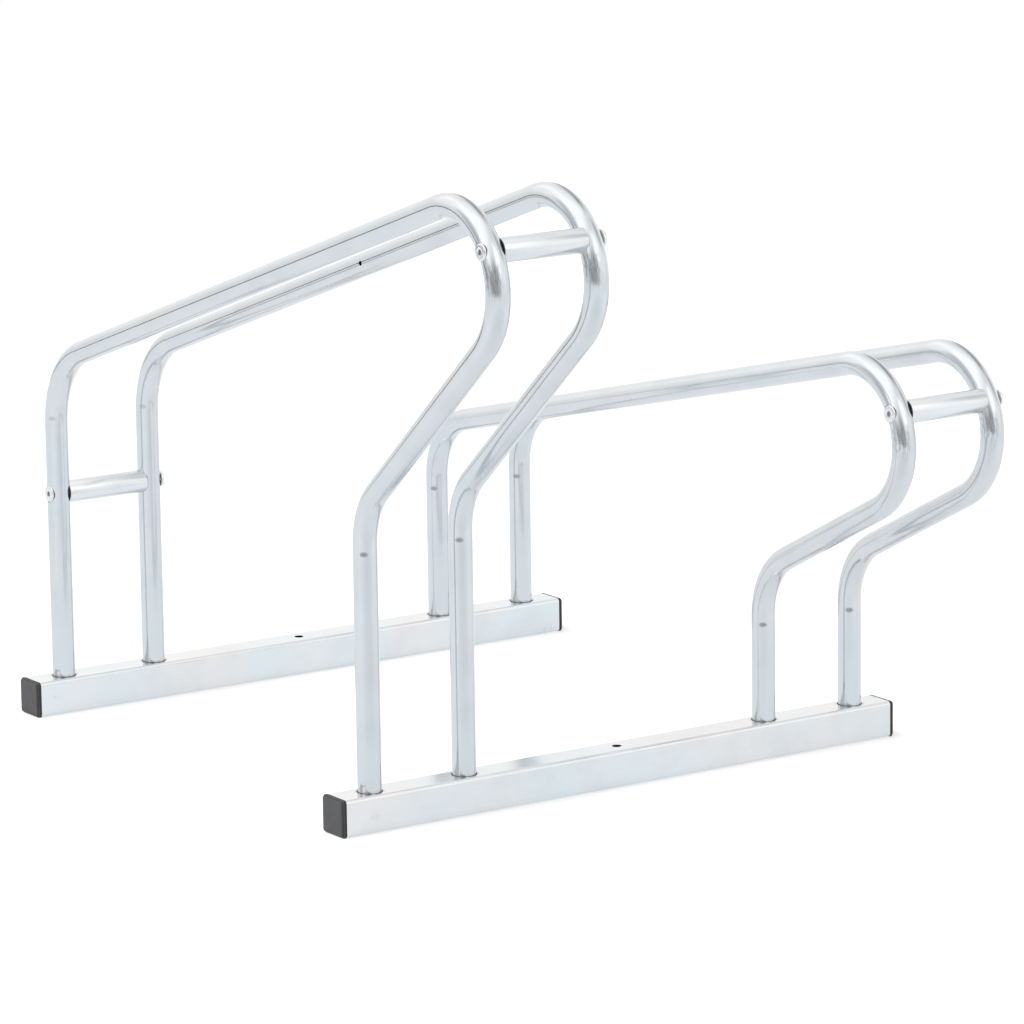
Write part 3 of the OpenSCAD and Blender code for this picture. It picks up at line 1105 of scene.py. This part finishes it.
def plastic_finish(sizes, colours):
    """Moulded dark plastic: fine matte grain, painted shade on the sides below the crown and a patchy painted
    highlight along the rim's edge.
    """
    rim_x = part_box("back_rail")[1].x + sizes.cap_rim
    crown_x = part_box("back_right_cap")[1].x
    material, tree, shader = new_finish("cap_plastic")
    place = place_on(tree)
    grain = noise(tree, place, PLASTIC_GRAIN)
    clouds = noise(tree, place, PLASTIC_CLOUDS)
    outwards = abs(parts_of(tree, place)[0])
    base = colours.cap_plastic
    shade = mixed(clouds.step(0.35, 0.65), base, scaled(base, 0.88))
    # Painted shade: the slope and rim below the crown at half brightness
    shade = mixed(outwards.step(crown_x - 0.0008, crown_x - 0.0002), scaled(base, 0.5), shade)
    # Painted highlight: a paler, patchy line along the rim's edge
    edge = abs(outwards - rim_x).step(sizes.edge_break, sizes.edge_break / 3)
    shade = mixed(edge * grain.step(0.2, 0.6) * 0.5, shade, scaled(base, 1.5))
    feed(
        shader, grain, 0.25, 0.00006,
        metallic=0.0, colour=shade, roughness=0.5 + grain * 0.14, specular=0.3,
    )
    return material


def dress(node, finish):
    """Gives a solid of the frame a finish in place of its plain colour."""
    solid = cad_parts[node]
    solid.data.materials.clear()
    solid.data.materials.append(finish)


# Steps that build the rack

class RACK_OT_bend_tubes(bpy.types.Operator):
    """Builds the four bent tubes with their pressed flats and vent holes"""

    bl_idname = "rack.bend_tubes"
    bl_label = "Bend Tubes"

    def execute(self, context):
        sizes = context.scene.rack_sizes
        for stand in STANDS:
            routes = [TubeRoute(sizes, stand, side) for side in SIDES]
            finish = tube_finish(sizes, context.scene.rack_colours, routes[0])
            for side, route in zip(SIDES, routes):
                mesh = cut_holes(bent_tube_mesh(sizes, route), hole_pins(sizes, route))
                mark_straight(mesh, route)
                new_piece(f"bent_tube_{stand}_{side}", mesh, finish, "tube_zinc", f"{stand}_{side}_hoop")
        return {"FINISHED"}


class RACK_OT_fit_spacers(bpy.types.Operator):
    """Builds the three spacer tubes between the bent tubes"""

    bl_idname = "rack.fit_spacers"
    bl_label = "Fit Spacers"

    def execute(self, context):
        finish = spacer_finish(context.scene.rack_colours)
        for stand in STANDS:
            for joint in JOINTS[stand]:
                mesh = spacer_mesh(context.scene.rack_sizes, joint)
                new_piece(f"spacer_{joint}", mesh, finish, "tube_zinc", f"{joint}_spacer")
        return {"FINISHED"}


class RACK_OT_turn_bolts(bpy.types.Operator):
    """Builds the six clamp bolts with their hexagon sockets, and plates the foot screws"""

    bl_idname = "rack.turn_bolts"
    bl_label = "Turn Bolts"

    def execute(self, context):
        finish = bolt_finish(context.scene.rack_colours)
        for stand in STANDS:
            for joint in JOINTS[stand]:
                for side in SIDES:
                    mesh = bolt_mesh(context.scene.rack_sizes, joint, side)
                    new_piece(f"bolt_{joint}_{side}", mesh, finish, "bolt_zinc", f"{joint}_{side}_bolt")
            for side in SIDES:
                for end in ENDS:
                    dress(f"{stand}_{side}_{end}_screw", finish)
        return {"FINISHED"}


class RACK_OT_finish_steel(bpy.types.Operator):
    """Finishes the rails, and the turned steel inserts and plugs inside the tubes"""

    bl_idname = "rack.finish_steel"
    bl_label = "Finish Rails and Inserts"

    def execute(self, context):
        rail = rail_finish(context.scene.rack_colours)
        steel = steel_finish(context.scene.rack_colours)
        for end in ENDS:
            dress(f"{end}_rail", rail)
        for stand in STANDS:
            for side in SIDES:
                for end in ENDS:
                    dress(f"{stand}_{side}_{end}_plug", steel)
                for joint in JOINTS[stand]:
                    dress(f"{joint}_{side}_insert", steel)
        return {"FINISHED"}


class RACK_OT_mould_caps(bpy.types.Operator):
    """Builds the four plastic caps of the rails"""

    bl_idname = "rack.mould_caps"
    bl_label = "Mould Caps"

    def execute(self, context):
        sizes = context.scene.rack_sizes
        finish = plastic_finish(sizes, context.scene.rack_colours)
        for end in ENDS:
            for side in SIDES:
                mesh = cap_mesh(sizes, end, side)
                new_piece(f"rail_cap_{end}_{side}", mesh, finish, "cap_plastic", f"{end}_{side}_cap")
        return {"FINISHED"}


# Studio

# Brightness of the room that the metal mirrors, away from the patches below
ROOM_LEVEL = 0.98

# Soft boxes and dark cards of that room: strength, turn, rise, and the angles where each is full and ends
ROOM_PATCHES = (
    (0.47, 300, 58, 22, 62),
    (0.47, 178, 34, 6, 26),
    (0.17, 142, 22, 12, 38),
    (0.12, 12, 24, 12, 34),
    (0.12, 78, 6, 8, 24),
    (0.22, 262, 27, 6, 20),
    (-0.22, 20, 63, 10, 32),
    (-0.14, 326, 33, 4, 18),
    (-0.14, 276, 32, 3, 14),
    (-0.56, 299, 16, 6, 22),
    (-0.40, 112, 33, 3, 20),
)

# Dark wall behind the camera, with how much each part is squeezed in height, and dark skirting on the left
WALL_DARK, SKIRTING_DARK = 0.51, 0.85
WALL_PARTS = ((219, 8, 8, 30, 1.2), (237, -2, 26, 56, 3.6))
SKIRTING_PATCH = (322, -5, 14, 34)

# Direction in which the plain light of the sky is stronger, and its least share
SOFT_DIRECTION = (-0.6, 0.78, 0.6)
LEAST_LIGHT = 0.05

# Place, radius where they end and radius where they are full, of patches in the floor that the metal mirrors
SHADED_FLOOR = (-0.32, -0.8, 0.68, 0.12)
LIT_FLOOR = ((-0.95, -0.1, 0.62, 0.12), (0.55, -0.85, 0.5, 0.1))

# Light of the floor to the camera and to the metal, and how much of its own colour the metal sees
CAMERA_GLOW, MIRROR_GLOW, MIRROR_PAINT = 0.34, 0.735, 0.3

# Turn and rise of the large soft lamp, and how wide it looks
LAMP_TURN, LAMP_RISE, LAMP_WIDTH = 300, 58, radians(35)


def direction(turn, rise):
    """Unit direction at a turn from +Y towards +X and a rise above the horizon, both in degrees."""
    turn, rise = radians(turn), radians(rise)
    return Vector((sin(turn) * cos(rise), cos(turn) * cos(rise), sin(rise)))


def lobe(tree, ray, turn, rise, inner, outer, squeeze=1.0):
    """Soft patch of the room about a direction: 1 within the inner angle and 0 past the outer one."""
    scale = (1.0, 1.0, squeeze)
    aim = Vector([a * b for a, b in zip(direction(turn, rise), scale)]).normalized()
    wide = stretched(tree, ray, scale)
    unit = add_node(tree, "ShaderNodeVectorMath", {"operation": "NORMALIZE"}, {0: wide})
    return dot(tree, unit, aim).step(cos(radians(outer)), cos(radians(inner)))


def build_sky(world, level):
    """White to the camera, plain light to the object, and soft boxes and dark cards in the metal."""
    world.use_nodes = True
    tree = world.node_tree
    tree.nodes.clear()
    ray = add_node(tree, "ShaderNodeTexCoord", output="Generated")
    camera, mirror = ray_kinds(tree)
    room = ROOM_LEVEL
    for strength, *patch in ROOM_PATCHES:
        room = room + strength * lobe(tree, ray, *patch)
    near_wall, far_wall = (lobe(tree, ray, *part) for part in WALL_PARTS)
    room = room - WALL_DARK * near_wall.most(far_wall)
    rise = parts_of(tree, ray)[2]
    skirting = abs(rise + 0.1).step(0.05, 0.018) * lobe(tree, ray, *SKIRTING_PATCH)
    room = room - SKIRTING_DARK * skirting
    plain = (level + dot(tree, ray, SOFT_DIRECTION) * level).most(LEAST_LIGHT)
    light = plain * (1 - mirror) + room * mirror
    background = add_node(tree, "ShaderNodeBackground", None, {
        "Color": (1.0, 1.0, 1.0, 1.0), "Strength": light * (1 - camera) + camera,
    })
    add_node(tree, "ShaderNodeOutputWorld", None, {"Surface": background})


def floor_patch(x, y, patch):
    """Soft round patch of the floor."""
    patch_x, patch_y, end, full = patch
    return length_of(x - patch_x, y - patch_y).step(end, full)


def floor_finish(colours):
    """White floor that keeps soft shadows: what the camera and the metal see of it is lifted to white."""
    material = bpy.data.materials.new("studio_floor")
    material.use_nodes = True
    tree = material.node_tree
    tree.nodes.clear()
    camera, mirror = ray_kinds(tree)
    paint = add_node(tree, "ShaderNodeBsdfDiffuse", None, {
        "Color": mixed(mirror, colours.floor, scaled(colours.floor, MIRROR_PAINT)),
    })
    x, y, _ = parts_of(tree, place_on(tree))
    shaded = floor_patch(x, y, SHADED_FLOOR)
    lit = floor_patch(x, y, LIT_FLOOR[0]).most(floor_patch(x, y, LIT_FLOOR[1]))
    lift = camera * CAMERA_GLOW + mirror * MIRROR_GLOW * (1 - 0.15 * shaded + 0.08 * lit)
    tint = mixed(mirror, (1.0, 1.0, 1.0), colours.floor_glow)
    glow = add_node(tree, "ShaderNodeEmission", None, {
        "Color": add_node(tree, "ShaderNodeVectorMath", {"operation": "SCALE"}, {0: tint, "Scale": lift}),
    })
    both = add_node(tree, "ShaderNodeAddShader", None, {0: paint, 1: glow})
    add_node(tree, "ShaderNodeOutputMaterial", None, {"Surface": both})
    return material


class RACK_OT_set_stage(bpy.types.Operator):
    """Sets up the floor, the light and the camera"""

    bl_idname = "rack.set_stage"
    bl_label = "Set Stage"

    def execute(self, context):
        scene = context.scene
        self.lay_floor(scene)
        self.hang_lamp(scene)
        scene.world = bpy.data.worlds.new("studio_sky")
        build_sky(scene.world, scene.rack_studio.sky_level)
        self.place_camera(scene)
        scene.view_settings.view_transform = "Standard"
        return {"FINISHED"}

    def lay_floor(self, scene):
        """Round pale floor under the rack."""
        work = bmesh.new()
        bmesh.ops.create_circle(work, cap_ends=True, segments=96, radius=scene.rack_studio.floor_radius)
        mesh = bpy.data.meshes.new("studio_floor")
        work.to_mesh(mesh)
        work.free()
        mesh.materials.append(floor_finish(scene.rack_colours))
        floor = bpy.data.objects.new("studio_floor", mesh)
        scene.collection.objects.link(floor)

    def hang_lamp(self, scene):
        """Large soft lamp that the metal doesn't mirror."""
        lamp = bpy.data.lights.new("soft_lamp", "SUN")
        lamp.energy = scene.rack_studio.lamp_level
        lamp.angle = LAMP_WIDTH
        holder = bpy.data.objects.new("soft_lamp", lamp)
        holder.rotation_euler = direction(LAMP_TURN, LAMP_RISE).to_track_quat("Z", "Y").to_euler()
        holder.visible_glossy = False
        scene.collection.objects.link(holder)

    def place_camera(self, scene):
        """Camera at the photo's place and angle."""
        studio = scene.rack_studio
        turn, rise, roll = studio.camera_turn, studio.camera_rise, studio.camera_roll
        right = Vector((cos(turn), sin(turn), 0))
        back = Vector((sin(turn) * cos(rise), -cos(turn) * cos(rise), sin(rise)))
        up = back.cross(right)
        rolled_right = cos(roll) * right + sin(roll) * up
        rolled_up = cos(roll) * up - sin(roll) * right
        camera = bpy.data.cameras.new("photo_camera")
        camera.lens = studio.lens
        camera.sensor_width = 36
        camera.clip_end = 50
        holder = bpy.data.objects.new("photo_camera", camera)
        axes = Matrix((rolled_right, rolled_up, back)).transposed()
        holder.matrix_world = Matrix.Translation(studio.camera_place) @ axes.to_4x4()
        scene.collection.objects.link(holder)
        scene.camera = holder


class RACK_PT_sidebar(bpy.types.Panel):
    """Lists the rack's settings and the steps that build it"""

    bl_label = "Bike Rack"
    bl_idname = "RACK_PT_sidebar"
    bl_space_type = "VIEW_3D"
    bl_region_type = "UI"
    bl_category = "Bike Rack"

    def draw(self, context):
        for group in GROUPS:
            settings = getattr(context.scene, group)
            box = self.layout.box()
            for name in settings.bl_rna.properties.keys():
                if name not in {"rna_type", "name"}:
                    box.prop(settings, name)
        for step in STEPS:
            self.layout.operator(step.bl_idname)


GROUPS = {"rack_sizes": RackSizes, "rack_colours": RackColours, "rack_studio": StudioSettings}
STEPS = (
    RACK_OT_bend_tubes,
    RACK_OT_fit_spacers,
    RACK_OT_turn_bolts,
    RACK_OT_finish_steel,
    RACK_OT_mould_caps,
    RACK_OT_set_stage,
)


def register():
    """Registers the settings, the steps and the panel."""
    for name, group in GROUPS.items():
        bpy.utils.register_class(group)
        setattr(bpy.types.Scene, name, PointerProperty(type=group))
    for step in (*STEPS, RACK_PT_sidebar):
        bpy.utils.register_class(step)


def unregister():
    """Takes the panel, the steps and the settings away."""
    for step in reversed((*STEPS, RACK_PT_sidebar)):
        bpy.utils.unregister_class(step)
    for name, group in GROUPS.items():
        delattr(bpy.types.Scene, name)
        bpy.utils.unregister_class(group)


def main():
    """Builds the whole scene."""
    register()
    bpy.ops.rack.bend_tubes()
    bpy.ops.rack.fit_spacers()
    bpy.ops.rack.turn_bolts()
    bpy.ops.rack.finish_steel()
    bpy.ops.rack.mould_caps()
    bpy.ops.rack.set_stage()


if __name__ == "__main__":
    main()
